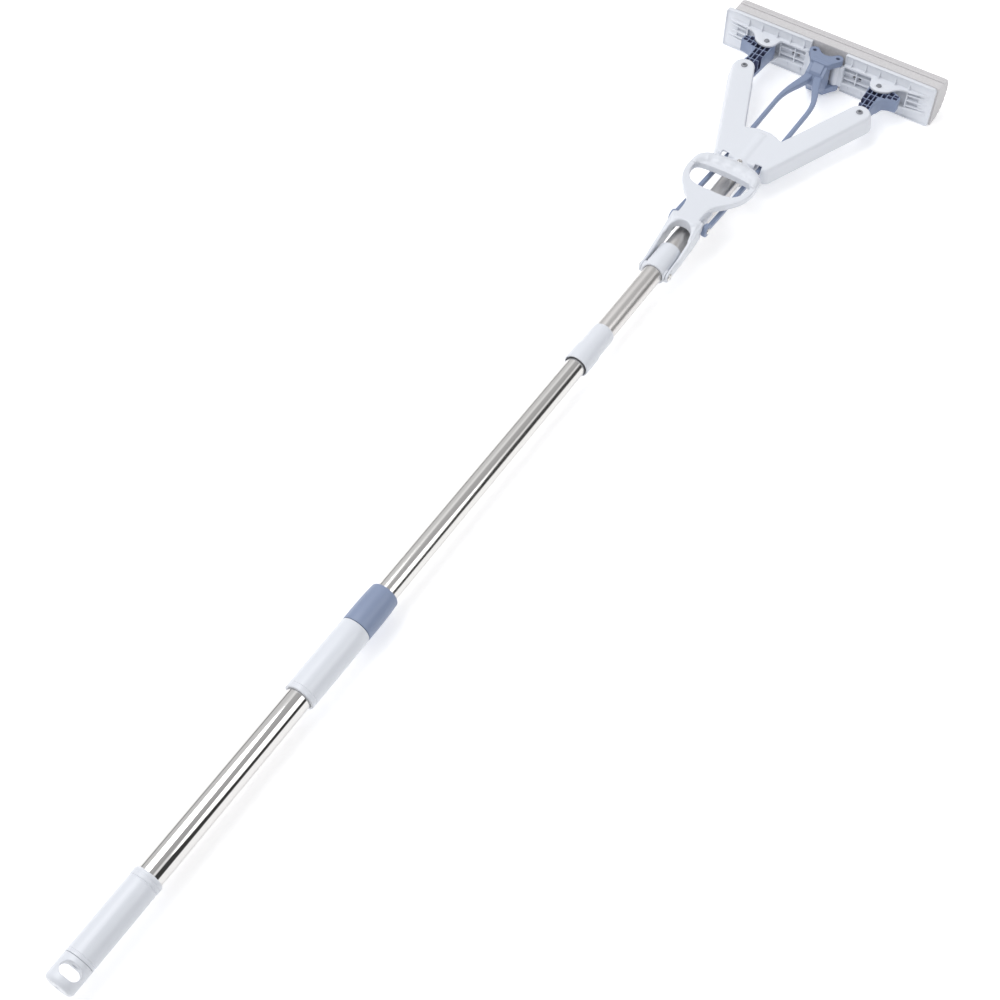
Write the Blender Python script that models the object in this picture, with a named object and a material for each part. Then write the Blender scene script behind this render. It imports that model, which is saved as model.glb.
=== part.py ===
"""Folding sponge mop with a telescopic pole, modelled as an assembly of separate pieces.

Lengths below are millimetres and become metres when a mesh is made. Every piece is drawn in
the head frame: X across the head, Y along the pole toward the head, Z up, with Y = 0 on the
handle-side rim of the backing plates and Z = 0 on the pole's axis. The whole mop lies flat, and
the model's origin is the middle of the sponge's lower side, where the head rests.
"""
import math

import bmesh
import bpy
from mathutils import Vector

MM = 0.001
GAP = 0.3                    # clearance between two pieces that touch

# Where the head frame lies in the model's frame
RIM_Y = -13.0                # plate rim, seen from the middle of the sponge's lower side
POLE_Z = 27.0                # pole axis above the surface that the sponge rests on

# Pole
OUTER_R, OUTER_BORE = 12.5, 11.7
INNER_R, INNER_BORE = 11.0, 10.2
GRIP_END, CAP_SEAM, GRIP_TOP = -1314.0, -1289.0, -1205.0
HOLE_Y, HOLE_R, HOLE_HALF, HOLE_TURN = -1300.0, 6.0, 3.6, 22.0    # hang hole, turned about the pole
SLEEVE_LOW, SLEEVE_TOP = -1008.0, -925.0
LOCK_SEAT, LOCK_TOP = -900.0, -880.0
OUTER_LOW, OUTER_TOP = -1286.0, -927.0
INNER_LOW, JOINT_Y = -990.0, -528.0
COLLAR_LOW, COLLAR_TOP = -554.0, -500.0
HEAD_TUBE_TOP = -166.0
GRIP_R, SLEEVE_R, LOCK_R = 14.0, 15.5, 15.4

# Lever
PIVOT_Y = -396.0
PIVOT_R = 6.5
BRACKET_LOW, BRACKET_TOP, BRACKET_R = -401.0, -363.0, 13.5
ARM_IN, ARM_OUT = 14.4, 17.2
EAR_Y, EAR_Z = -325.0, 12.0
NECK_W, NECK_TOP = 13.0, 25.0
LOOP_Z = 24.0                # middle of the finger loop

# Pull rods
ROD_X, ROD_W, ROD_H = 20.3, 5.0, 6.0
FLEX_Y, ROD_Z = -150.0, 0.0
FLEX_LEAN = 0.45
EAR_R = 7.5

# V frame
ARM_PIN = Vector((74.0, -66.5))
ARM_END_R = 13.0
FRAME_TOP, FRAME_LOW, FRAME_SKIN, FRAME_WALL = 14.0, -6.0, 2.6, 2.4
FRAME_FLARE = 4.5            # how far the outer walls lean out by their lower edge
HUB_R, HUB_LOW, HUB_TOP = 15.0, -223.0, -160.0
SLOT_Y = -206.0              # the rod tunnels are open on top behind this

# Links, plates and centre bracket
EAR_PIN = Vector((72.7, -13.5))
HINGE = Vector((15.0, -5.0))
LINK_LOW, LINK_TOP = -9.0, 11.0
PLATE_IN, PLATE_OUT, PLATE_H, PLATE_T = 22.2, 135.0, 26.0, 4.3
FLOOR_T, WALL_T = 1.9, 2.0
RAIL_RISE = 3.5
BOSS_R, KNUCKLE_R = 6.3, 5.2
BRACKET_Z = 22.0
KNUCKLE_Z = 13.0

# Sponge
SPONGE_BACK, SPONGE_SIDE, SPONGE_FRONT, SPONGE_H = 4.6, 20.0, 39.0, 27.0
SPONGE_LEFT, SPONGE_RIGHT, SPONGE_SPLIT = -126.0, 137.0, 17.0

WHITE = ("white_plastic", (0.78, 0.81, 0.86), 0.35, 0.0)
SLATE = ("slate_plastic", (0.26, 0.33, 0.48), 0.45, 0.0)
NAVY = ("navy_plastic", (0.12, 0.15, 0.26), 0.5, 0.0)
CHROME = ("chrome", (0.8, 0.8, 0.8), 0.1, 1.0)
SATIN = ("satin_steel", (0.62, 0.61, 0.6), 0.3, 1.0)
SPONGE = ("sponge", (0.62, 0.6, 0.62), 0.9, 0.0)

# Each moving group hangs on an empty on its joint's axis, given in the head frame
BODIES = {
    "root": (0.0, 0.0, 0.0),
    "grip_pole": (0.0, SLEEVE_TOP, 0.0),
    "twist_lock": (0.0, SLEEVE_TOP, 0.0),
    "lever": (0.0, PIVOT_Y, 0.0),
    "puller": (0.0, HINGE.y, 0.0),
    "rod_tails": (0.0, FLEX_Y, ROD_Z),
    "plate_left": (-HINGE.x, HINGE.y, 0.0),
    "plate_right": (HINGE.x, HINGE.y, 0.0),
    "link_left": (-ARM_PIN.x, ARM_PIN.y, 0.0),
    "link_right": (ARM_PIN.x, ARM_PIN.y, 0.0),
}
EMPTIES = {}


def clear_scene():
    for item in list(bpy.data.objects):
        bpy.data.objects.remove(item, do_unlink=True)


def make_empties():
    for body, pivot in BODIES.items():
        empty = bpy.data.objects.new("at_" + body, None)
        bpy.context.collection.objects.link(empty)
        empty.location = Vector((pivot[0], pivot[1] + RIM_Y, pivot[2] + POLE_Z)) * MM
        empty.empty_display_size = 0.02
        EMPTIES[body] = empty


def material(finish):
    name, colour, roughness, metallic = finish
    found = bpy.data.materials.get(name)
    if found:
        return found
    made = bpy.data.materials.new(name)
    made.use_nodes = True
    shader = made.node_tree.nodes["Principled BSDF"]
    shader.inputs["Base Color"].default_value = (*colour, 1.0)
    shader.inputs["Roughness"].default_value = roughness
    shader.inputs["Metallic"].default_value = metallic
    return made


def piece(name, shape, body, finish=None):
    """Make an object from (points, faces) in the head frame and hang it on its body's empty."""
    points, faces = shape
    mesh = bpy.data.meshes.new(name)
    mesh.from_pydata([Vector(p) * MM for p in points], [], faces)
    tidy = bmesh.new()
    tidy.from_mesh(mesh)
    bmesh.ops.recalc_face_normals(tidy, faces=tidy.faces)
    tidy.to_mesh(mesh)
    tidy.free()
    mesh.shade_smooth()
    mesh.set_sharp_from_angle(angle=math.radians(35))
    made = bpy.data.objects.new(name, mesh)
    bpy.context.collection.objects.link(made)
    made.parent = EMPTIES[body]
    made.location = -Vector(BODIES[body]) * MM
    if finish:
        mesh.materials.append(material(finish))
    else:
        made.hide_render = True
        made.display_type = "WIRE"
    return made


def combine(target, shape, operation):
    """Cut a shape from the target, or join it on, with a Boolean on a hidden helper."""
    body = target.parent.name[len("at_"):]
    count = len(target.modifiers)
    helper = piece("%s_%s_%02d" % (target.name, operation.lower(), count), shape, body)
    helper.hide_viewport = False
    step = target.modifiers.new("%s %02d" % (operation.lower(), count), "BOOLEAN")
    step.operation = operation
    step.object = helper
    step.solver = "EXACT"


def cut(target, *shapes):
    for shape in shapes:
        combine(target, shape, "DIFFERENCE")


def join(target, *shapes):
    for shape in shapes:
        combine(target, shape, "UNION")


def stack(rings, closed=False):
    """Skin rings of equally many points; closed joins the last ring to the first."""
    size = len(rings[0])
    points = [p for ring in rings for p in ring]
    spans = len(rings) if closed else len(rings) - 1
    faces = []
    for i in range(spans):
        a, b = i * size, ((i + 1) % len(rings)) * size
        faces += [(a + j, a + (j + 1) % size, b + (j + 1) % size, b + j) for j in range(size)]
    if not closed:
        faces += [tuple(range(size)), tuple(range(len(points) - size, len(points)))]
    return points, faces


def circle(radius, steps, start=0.0):
    turns = [start + 2 * math.pi * i / steps for i in range(steps)]
    return [(radius * math.cos(t), radius * math.sin(t)) for t in turns]


def arc(centre, radius, first, last, steps):
    turns = [math.radians(first + (last - first) * i / steps) for i in range(steps + 1)]
    return [(centre[0] + radius * math.cos(t), centre[1] + radius * math.sin(t)) for t in turns]


def turned(profile, closed=True, steps=32):
    """Turn (radius, y) points round the pole's axis; closed profiles make a tube."""
    rings = [[(x, y, z) for x, z in circle(r, steps)] for r, y in profile]
    return stack(rings, closed)


def tube(outer, bore, low, high, steps=32):
    return turned([(outer, low), (outer, high), (bore, high), (bore, low)], True, steps)


def prism_z(outline, low, high):
    return stack([[(x, y, low) for x, y in outline], [(x, y, high) for x, y in outline]])


def prism_x(outline, low, high):
    return stack([[(low, y, z) for y, z in outline], [(high, y, z) for y, z in outline]])


def prism_y(outline, low, high):
    return stack([[(x, low, z) for x, z in outline], [(x, high, z) for x, z in outline]])


def box(x, y, z):
    return prism_z([(x[0], y[0]), (x[1], y[0]), (x[1], y[1]), (x[0], y[1])], z[0], z[1])


def disc_z(centre, levels, steps=20):
    """Stack discs on an upright axis from (radius, z) levels."""
    return stack([[(centre[0] + x, centre[1] + y, z) for x, y in circle(r, steps)]
                  for r, z in levels])


def disc_x(centre, levels, steps=20):
    """Stack discs on an axis along X from (radius, x) levels; the centre is (y, z)."""
    return stack([[(x, centre[0] + y, centre[1] + z) for y, z in circle(r, steps)]
                  for r, x in levels])


def flip(shape, side):
    """Mirror a right-hand shape to the given side, +1 right or -1 left."""
    return [(side * p[0], p[1], p[2]) for p in shape[0]], shape[1]


def inset(outline, distance):
    """Offset a closed anticlockwise outline inward by moving its edges."""
    moved = []
    count = len(outline)
    for i in range(count):
        before, here, after = (Vector(outline[(i + k) % count]) for k in (-1, 0, 1))
        first, second = (here - before).normalized(), (after - here).normalized()
        inward_a, inward_b = Vector((-first.y, first.x)), Vector((-second.y, second.x))
        bisector = (inward_a + inward_b).normalized()
        moved.append(tuple(here + bisector * distance / max(0.4, bisector.dot(inward_a))))
    return moved


def sweep(path, sizes, normal, steps=12):
    """Run an oval of (width, height) along a path; width is across the path and the normal."""
    rings = []
    count = len(path)
    for i in range(count):
        ahead = Vector(path[min(i + 1, count - 1)]) - Vector(path[max(i - 1, 0)])
        across = ahead.normalized().cross(Vector(normal)).normalized()
        width, height = sizes[i]
        rings.append([tuple(Vector(path[i]) + across * (c * width / 2)
                            + Vector(normal) * (s * height / 2)) for c, s in circle(1.0, steps)])
    return stack(rings)


# ---- pole ---------------------------------------------------------------------------------

def make_pole():
    piece("outer_tube", tube(OUTER_R, OUTER_BORE, OUTER_LOW, OUTER_TOP), "grip_pole", CHROME)
    grip = turned([(GRIP_R, CAP_SEAM + GAP), (GRIP_R, GRIP_TOP - 6), (GRIP_R + 0.4, GRIP_TOP - 4),
                   (GRIP_R + 0.4, GRIP_TOP - 1), (GRIP_R - 0.6, GRIP_TOP), (OUTER_R + GAP, GRIP_TOP),
                   (OUTER_R + GAP, CAP_SEAM + GAP)])
    piece("grip", grip, "grip_pole", WHITE)
    make_hang_cap()
    sleeve = turned([(SLEEVE_R - 0.8, SLEEVE_LOW), (SLEEVE_R, SLEEVE_LOW + 2.5),
                     (SLEEVE_R, SLEEVE_TOP - GAP), (OUTER_R + GAP, SLEEVE_TOP - GAP),
                     (OUTER_R + GAP, SLEEVE_LOW)])
    piece("grip_sleeve", sleeve, "grip_pole", WHITE)
    collet = turned([(12.6, OUTER_TOP + GAP), (12.6, LOCK_SEAT - 7.0), (11.9, LOCK_SEAT - 2.0),
                     (INNER_R + GAP, LOCK_SEAT - 2.0), (INNER_R + GAP, OUTER_TOP + GAP)])
    piece("lock_collet", collet, "grip_pole", WHITE)
    lock = turned([(LOCK_R, SLEEVE_TOP + GAP), (LOCK_R, LOCK_TOP - 18.0), (LOCK_R - 0.7, LOCK_TOP - 5.0),
                   (LOCK_R - 1.4, LOCK_TOP), (INNER_R + GAP, LOCK_TOP), (INNER_R + GAP, LOCK_SEAT),
                   (12.9, LOCK_SEAT), (12.9, SLEEVE_TOP + GAP)])
    piece("twist_lock", lock, "twist_lock", SLATE)

    piece("inner_tube", tube(INNER_R, INNER_BORE, INNER_LOW, JOINT_Y - 1.6), "root", CHROME)
    guide = turned([(11.4, INNER_LOW - 12.0), (11.4, INNER_LOW - GAP), (9.9, INNER_LOW - GAP),
                    (9.9, INNER_LOW + 18.0), (8.2, INNER_LOW + 18.0), (8.2, INNER_LOW - 12.0)])
    piece("tube_guide", guide, "root", SLATE)
    plug = turned([(9.9, JOINT_Y - 18.0), (9.9, JOINT_Y - 1.3), (10.9, JOINT_Y - 1.3),
                   (10.9, JOINT_Y + 1.3), (9.9, JOINT_Y + 1.3), (9.9, JOINT_Y + 18.0),
                   (6.5, JOINT_Y + 18.0), (6.5, JOINT_Y - 18.0)])
    piece("joint_plug", plug, "root", SLATE)
    collar = turned([(13.7, COLLAR_LOW), (13.7, COLLAR_LOW + 6.0), (12.6, COLLAR_TOP - 2.0),
                     (12.2, COLLAR_TOP), (INNER_R + GAP, COLLAR_TOP),
                     (INNER_R + GAP, COLLAR_LOW + 5.0), (12.3, COLLAR_LOW + 4.0),
                     (12.3, COLLAR_LOW)])
    piece("joint_collar", collar, "root", WHITE)
    piece("head_tube", tube(INNER_R, INNER_BORE, JOINT_Y + 1.6, HEAD_TUBE_TOP), "root", SATIN)
    tip = turned([(9.9, HEAD_TUBE_TOP - 16.0), (9.9, HEAD_TUBE_TOP - GAP), (8.0, HEAD_TUBE_TOP - GAP),
                  (8.0, HEAD_TUBE_TOP - 16.0)])
    piece("head_tube_plug", tip, "root", SLATE)


def make_hang_cap():
    inner, rounding = 10.0, 4.5
    profile = [(inner, GRIP_END)]
    for turn in (30, 50, 70, 90):
        angle = math.radians(turn)
        profile.append((inner + (GRIP_R - inner) * math.sin(angle),
                        GRIP_END + rounding - rounding * math.cos(angle)))
    profile += [(GRIP_R, CAP_SEAM - GAP), (GRIP_R - 2.4, CAP_SEAM - GAP), (GRIP_R - 2.4, CAP_SEAM - 4.0),
                (2.0, CAP_SEAM - 4.0), (2.0, GRIP_END)]
    cap = piece("hang_cap", turned(profile), "grip_pole", WHITE)
    slot = (arc((HOLE_HALF, HOLE_Y), HOLE_R, -90, 90, 8)
            + arc((-HOLE_HALF, HOLE_Y), HOLE_R, 90, 270, 8))
    points, faces = prism_z(slot, -GRIP_R - 4, GRIP_R + 4)
    lean, upright = math.sin(math.radians(HOLE_TURN)), math.cos(math.radians(HOLE_TURN))
    cut(cap, ([(x * upright + z * lean, y, z * upright - x * lean) for x, y, z in points], faces))


# ---- lever --------------------------------------------------------------------------------

def make_lever_bracket():
    bracket = piece("lever_bracket", tube(BRACKET_R, INNER_R + GAP, BRACKET_LOW, BRACKET_TOP),
                    "root", WHITE)
    for side in (-1, 1):
        join(bracket, flip(disc_x((PIVOT_Y, 0.0), [(PIVOT_R, 11.8), (PIVOT_R, 14.1)]), side))
    cut(bracket, disc_x((PIVOT_Y, 0.0), [(2.4, -20.0), (2.4, 20.0)]))
    screw = disc_x((PIVOT_Y, 0.0), [(2.0, 11.7), (2.0, 17.5), (4.2, 17.5), (4.0, 18.6), (2.6, 19.4)])
    for side, word in ((-1, "left"), (1, "right")):
        piece("lever_screw_" + word, flip(screw, side), "root", CHROME)


def loop_path():
    """Right half of the loop's centre line in plan, from the neck to the middle of the far bar."""
    return [(9.0, -303.0), (18.0, -297.0), (26.5, -288.0), (33.0, -276.0), (36.8, -263.0),
            (36.6, -251.0), (32.5, -242.5), (25.0, -237.5), (14.0, -235.0), (0.0, -234.0)]


def make_lever():
    side_outline = (arc((PIVOT_Y, 0.0), PIVOT_R, 100, 270, 8)
                    + [(-366.0, -4.5), (-344.0, -2.0), (-330.0, 2.0), (-330.0, 16.0), (-350.0, 13.5)])
    arm = prism_x(side_outline, ARM_IN, ARM_OUT)
    lever = piece("lever", arm, "lever", WHITE)
    join(lever, flip(arm, -1))
    arch_z = 3.5
    outer = arc((0.0, arch_z), ARM_OUT, 0, 180, 14)
    bore = arc((0.0, arch_z), ARM_IN, 180, 0, 14)
    join(lever, prism_y(outer + bore, -349.0, -333.0))
    neck_in = NECK_W - 1.6
    neck_outer = [(NECK_W, 3.0), (NECK_W, NECK_TOP - 4), (NECK_W - 4, NECK_TOP)]
    neck_inner = [(neck_in, NECK_TOP - 4), (neck_in, 3.0)]
    neck = (neck_outer + [(-x, z) for x, z in reversed(neck_outer)]
            + [(-neck_in, 3.0), (-neck_in, NECK_TOP - 4)] + neck_inner)
    join(lever, prism_y(neck, -340.0, -292.0))
    web = [(13.0, -300.0), (29.0, -283.5), (20.0, -282.0), (-20.0, -282.0), (-29.0, -283.5),
           (-13.0, -300.0)]
    join(lever, prism_z(web, 18.0, NECK_TOP - 0.5))
    half = loop_path()
    plan = half + [(-x, y) for x, y in reversed(half[:-1])]
    path = [(x, y, LOOP_Z) for x, y in plan]
    sizes = []
    for x, y, z in path:
        far = min(1.0, max(0.0, (y + 262.0) / 22.0))
        sizes.append((9.0 + 9.0 * far, 12.0 + 2.0 * far))
    join(lever, sweep(path, sizes, (0, 0, 1)))
    for side in (-1, 1):
        join(lever, flip(disc_x((EAR_Y, EAR_Z), [(6.0, 12.6), (6.0, 17.4)]), side))
    cut(lever, disc_x((PIVOT_Y, 0.0), [(2.4, -25.0), (2.4, 25.0)]))


# ---- pull rods and centre bracket ---------------------------------------------------------

def rod_section(centre, width, height):
    x, y, z = centre
    w, h, c = width / 2, height / 2, 1.2
    corners = [(w, h - c), (w - c, h), (-w + c, h), (-w, h - c), (-w, -h + c), (-w + c, -h),
               (w - c, -h), (w, -h + c)]
    return [(x + a, y, z + b) for a, b in corners]


def make_rods():
    stations = [(ROD_X, FLEX_Y + GAP / 2, 0.0, ROD_W, ROD_H), (ROD_X, -84.0, 0.0, ROD_W, ROD_H),
                (ROD_X - 0.8, -70.0, 0.5, ROD_W + 1, ROD_H), (17.0, -61.0, 1.5, 8.0, 6.5),
                (12.0, -53.0, 3.0, 9.5, 7.5), (8.3, -46.5, 4.0, 9.5, 8.0),
                (7.2, -42.6, 4.5, 9.5, 8.0)]
    front = stack([rod_section((x, y, ROD_Z + z), w, h) for x, y, z, w, h in stations])
    # The tail's end leans back above the pivot, so that it clears the front as it turns up
    start = [(x, y - FLEX_LEAN * max(z - ROD_Z, 0.0), z)
             for x, y, z in rod_section((ROD_X, FLEX_Y - GAP / 2, ROD_Z), ROD_W, ROD_H)]
    tail = stack([start] + [rod_section((ROD_X, y, z), ROD_W, ROD_H)
                            for y, z in ((EAR_Y + 10.0, EAR_Z - 0.6), (EAR_Y + 4.0, EAR_Z))])
    ear = disc_x((EAR_Y, EAR_Z), [(EAR_R, ROD_X - ROD_W / 2), (EAR_R, ROD_X + ROD_W / 2)])
    hole = disc_x((EAR_Y, EAR_Z), [(2.4, 10.0), (2.4, 30.0)])
    rivet = disc_x((EAR_Y, EAR_Z), [(2.0, ROD_X - ROD_W / 2 + 0.2), (2.0, ROD_X + ROD_W / 2 + GAP),
                                    (3.6, ROD_X + ROD_W / 2 + GAP), (2.6, ROD_X + ROD_W / 2 + 1.7)])
    for side, word in ((-1, "left"), (1, "right")):
        piece("rod_front_" + word, flip(front, side), "puller", SLATE)
        rod = piece("rod_tail_" + word, flip(tail, side), "rod_tails", SLATE)
        join(rod, flip(ear, side))
        cut(rod, flip(hole, side))
        piece("rod_rivet_" + word, flip(rivet, side), "rod_tails", CHROME)


def bracket_plate():
    """Plan of the bracket's upper and lower plate: two bosses with a hollow edge between them."""
    boss = arc(HINGE, BOSS_R, -60, 120, 9)
    hollow = [(6.0, -5.5), (0.0, -7.0)]
    half = [(10.5, -24.0)] + boss + hollow
    return half + [(-x, y) for x, y in reversed(half[:-1])]


def make_centre_bracket():
    profile = [(-13.0, -BRACKET_Z), (-13.0, BRACKET_Z), (-17.0, BRACKET_Z), (-37.0, 11.0),
               (-42.2, 5.0), (-42.2, -3.0), (-30.0, -13.0), (-21.0, -BRACKET_Z)]
    bracket = piece("centre_bracket", prism_x(profile, -11.4, 11.4), "puller", SLATE)
    join(bracket, prism_z(bracket_plate(), KNUCKLE_Z + 0.5, BRACKET_Z - 0.2),
         prism_z(bracket_plate(), -BRACKET_Z + 0.2, -KNUCKLE_Z - 0.5))
    panel = prism_x([(-20.0, 19.0), (-20.0, 22.3), (-36.0, 13.6), (-38.5, 10.0)], -7.0, 7.0)
    join(bracket, panel)
    for side, word in ((-1, "left"), (1, "right")):
        centre = (side * HINGE.x, HINGE.y)
        cut(bracket, disc_z(centre, [(2.3, -30.0), (2.3, 30.0)], 16))
        pin = disc_z(centre, [(2.0, -BRACKET_Z + 1.5), (2.0, BRACKET_Z - 1.5)], 16)
        piece("hinge_pin_" + word, pin, "puller", CHROME)


# ---- V frame ------------------------------------------------------------------------------

def frame_outline(flare=0.0, margin=0.0):
    """Plan of the frame; flare moves the outer walls out, margin moves every wall in."""
    notch = [(0.0, -151.5), (8.0, -152.2), (16.0, -155.0), (22.5, -157.5)]
    outward = Vector((0.92, -0.3)) * flare / 2
    end = arc(ARM_PIN + outward, ARM_END_R + flare / 2, 158, -22, 12)
    lobe = arc((27.0 + flare / 2, -204.5), 7.0, -20, -90, 4)
    half = notch + end + lobe + [(15.0, -211.5)]
    mirrored = [(-x, y) for x, y in reversed(half[1:])]
    return inset(list(reversed(half + mirrored)), margin)


def frame_solid(margin, low, high):
    levels = ((FRAME_FLARE, low), (0.8, FRAME_TOP - 3.0), (0.0, high))
    rings = []
    for flare, z in levels:
        edge = 1.4 if z == FRAME_TOP else 0.0
        rings.append([(x, y, z) for x, y in frame_outline(flare, margin + edge)])
    return stack(rings)


def make_frame():
    frame = piece("v_frame", frame_solid(0.0, FRAME_LOW, FRAME_TOP), "root", WHITE)
    cut(frame, frame_solid(FRAME_WALL, FRAME_LOW - 1, FRAME_TOP - FRAME_SKIN))
    join(frame, turned([(HUB_R, HUB_LOW), (HUB_R, HUB_TOP)], False))
    cut(frame, turned([(INNER_R + GAP, HUB_LOW - 2), (INNER_R + GAP, HUB_TOP - 4)], False))
    tunnel_in, tunnel_out = ROD_X - ROD_W / 2 - 1.5, ROD_X + ROD_W / 2 + 2.0
    for side in (-1, 1):
        cut(frame, flip(box((tunnel_in, tunnel_out), (HUB_LOW - 5, -145.0),
                            (FRAME_LOW - 4, FRAME_TOP - FRAME_SKIN - 0.2)), side))
        cut(frame, flip(box((tunnel_in, tunnel_out), (HUB_LOW - 5, SLOT_Y), (0.0, FRAME_TOP + 3)), side))
        room = [(50.0, -88.0), (74.0, -80.0), (84.0, -66.5), (88.0, -45.0), (50.0, -45.0)]
        cut(frame, flip(prism_z(room, FRAME_LOW - 5, FRAME_TOP - FRAME_SKIN - 0.1), side))
        cut(frame, flip(disc_z(ARM_PIN, [(2.9, 0.0), (2.9, 20.0)], 16), side))
    cut(frame, disc_z((0.0, -214.0), [(1.9, 8.0), (1.9, 20.0)], 12))
    screw = disc_z((0.0, -214.0), [(1.6, 11.4), (1.6, 15.3), (3.1, 15.3), (2.4, 16.5)], 16)
    piece("hub_screw", screw, "root", CHROME)
    pin = [(4.0, -11.0), (4.0, -9.4), (2.5, -9.4), (2.5, 14.3), (3.8, 14.3), (3.0, 15.3)]
    for side, word in ((-1, "left"), (1, "right")):
        piece("arm_pin_" + word, disc_z((side * ARM_PIN.x, ARM_PIN.y), pin), "root", CHROME)


# ---- links --------------------------------------------------------------------------------

def link_outline():
    """Right link in plan, from the round end on the arm's pin, anticlockwise."""
    hollow = [(81.3, -52.0), (79.8, -44.0), (80.0, -37.0), (82.3, -31.5), (86.3, -27.5),
              (91.5, -24.8), (96.5, -23.3), (101.0, -22.8)]
    tip = [(101.0, -14.5), (86.0, -8.5)]
    return arc(ARM_PIN, 8.0, 200, 350, 8) + hollow + tip + [(62.5, -8.5), (63.0, -20.0)]


def make_links():
    outline = link_outline()
    for side, word in ((-1, "left"), (1, "right")):
        body = "link_" + word
        link = piece(body, flip(prism_z(outline, LINK_LOW, LINK_TOP), side), body, NAVY)
        for x, y, width, height in ((66.0, -58.0, 6.6, 10.5), (74.2, -56.0, 4.4, 8.5),
                                    (66.0, -45.5, 6.6, 10.5), (74.2, -45.5, 4.0, 10.5),
                                    (66.0, -33.0, 6.6, 10.5), (74.2, -33.0, 6.0, 7.0),
                                    (83.4, -23.4, 6.4, 7.0), (91.4, -21.0, 6.4, 4.8)):
            pocket = box((x, x + width), (y, y + height), (2.0, LINK_TOP + 2))
            cut(link, flip(pocket, side))
        cut(link, flip(disc_z(ARM_PIN, [(2.9, -15.0), (2.9, 15.0)], 16), side))
        cut(link, flip(disc_z(EAR_PIN, [(3.7, -15.0), (3.7, 15.0)], 16), side))
        bush = disc_z((side * EAR_PIN.x, EAR_PIN.y), [(3.4, LINK_LOW + 0.1), (3.4, LINK_TOP - 0.1)])
        piece("link_bush_" + word, bush, body, CHROME)


# ---- backing plates -----------------------------------------------------------------------

RAIL_TOP = (LINK_TOP + 0.7, LINK_TOP + 3.1)      # upper rail's faces, just clear of the link
RAIL_LOW = (LINK_LOW - 3.1, LINK_LOW - 0.7)


def plate_outline(margin=0.0):
    """Plate seen along Y as (x, z), with rounded outer corners."""
    corner = 3.0
    out, high = PLATE_OUT - margin, PLATE_H - margin
    return ([(PLATE_IN + margin, high), (PLATE_IN + margin, -high)]
            + arc((out - corner, -high + corner), corner, -90, 0, 4)
            + arc((out - corner, high - corner), corner, 0, 90, 4))


def ear_outline():
    """Rail with the round ear on it, as (x, y)."""
    return ([(PLATE_OUT - 4.0, -0.6), (PLATE_OUT - 4.0, PLATE_T - 1.0), (PLATE_IN + 1, PLATE_T - 1.0),
             (PLATE_IN + 1, -RAIL_RISE), (61.0, -RAIL_RISE)]
            + arc(EAR_PIN, 9.5, 180, 360, 10) + [(84.5, -RAIL_RISE), (112.0, -RAIL_RISE)])


def make_plates():
    floor_y = PLATE_T - FLOOR_T
    for side, word in ((-1, "left"), (1, "right")):
        body = "plate_" + word
        plate = piece(body, flip(prism_y(plate_outline(), 0.0, PLATE_T), side), body, WHITE)
        cut(plate, flip(prism_y(plate_outline(WALL_T), -3.0, floor_y), side))
        for low, high in (RAIL_TOP, RAIL_LOW):
            join(plate, flip(prism_z(ear_outline(), low, high), side))
        for x in (40.0, 57.0, 92.0, 108.0):
            join(plate, flip(box((x - 0.8, x + 0.8), (-1.6, floor_y + 0.5),
                                 (RAIL_TOP[1] - 0.5, PLATE_H - 1.0)), side))
            join(plate, flip(box((x - 0.8, x + 0.8), (-1.6, floor_y + 0.5),
                                 (-PLATE_H + 1.0, RAIL_LOW[0] + 0.5)), side))
        for x in (40.0, 112.0):
            join(plate, flip(box((x - 0.8, x + 0.8), (-0.8, floor_y + 0.5),
                                 (RAIL_LOW[1] - 0.5, RAIL_TOP[0] + 0.5)), side))
        web = box((HINGE.x, PLATE_IN + 2.0), (HINGE.y - 2.6, HINGE.y + 2.6), (-KNUCKLE_Z, KNUCKLE_Z))
        root = box((PLATE_IN + 0.1, PLATE_IN + 2.4), (HINGE.y - 2.6, floor_y + 0.5),
                   (-KNUCKLE_Z, KNUCKLE_Z))
        join(plate, flip(disc_z(HINGE, [(KNUCKLE_R, -KNUCKLE_Z), (KNUCKLE_R, KNUCKLE_Z)]), side),
             flip(web, side), flip(root, side))
        cut(plate, flip(disc_z(HINGE, [(2.4, -20.0), (2.4, 20.0)], 16), side),
            flip(disc_z(EAR_PIN, [(2.3, -20.0), (2.3, 20.0)], 16), side))
        for x in (36.6, 43.4):
            cut(plate, flip(box((x - 1.8, x + 1.8), (-1.0, PLATE_T + 2), (-6.8, -3.2)), side))
        rivet_top = disc_z(EAR_PIN, [(2.0, RAIL_TOP[0] + 0.2), (2.0, RAIL_TOP[1] + GAP),
                                     (3.3, RAIL_TOP[1] + GAP), (2.6, RAIL_TOP[1] + 1.3)], 16)
        rivet_low = disc_z(EAR_PIN, [(2.0, RAIL_LOW[1] - 0.2), (2.0, RAIL_LOW[0] - GAP),
                                     (3.3, RAIL_LOW[0] - GAP), (2.6, RAIL_LOW[0] - 1.3)], 16)
        piece("ear_rivet_upper_" + word, flip(rivet_top, side), body, CHROME)
        piece("ear_rivet_lower_" + word, flip(rivet_low, side), body, CHROME)


# ---- sponge -------------------------------------------------------------------------------

def sponge_profile():
    """Half-round section as (y, z): flat back, flat sides, rounded front."""
    nose = SPONGE_FRONT - SPONGE_SIDE
    half = [(SPONGE_SIDE + nose * math.sin(math.radians(t)), SPONGE_H * math.cos(math.radians(t)))
            for t in (0, 22.5, 45, 67.5, 90)]
    return ([(SPONGE_BACK, -SPONGE_H)] + [(y, -z) for y, z in half[:-1]]
            + list(reversed(half)) + [(SPONGE_BACK, SPONGE_H)])


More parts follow.
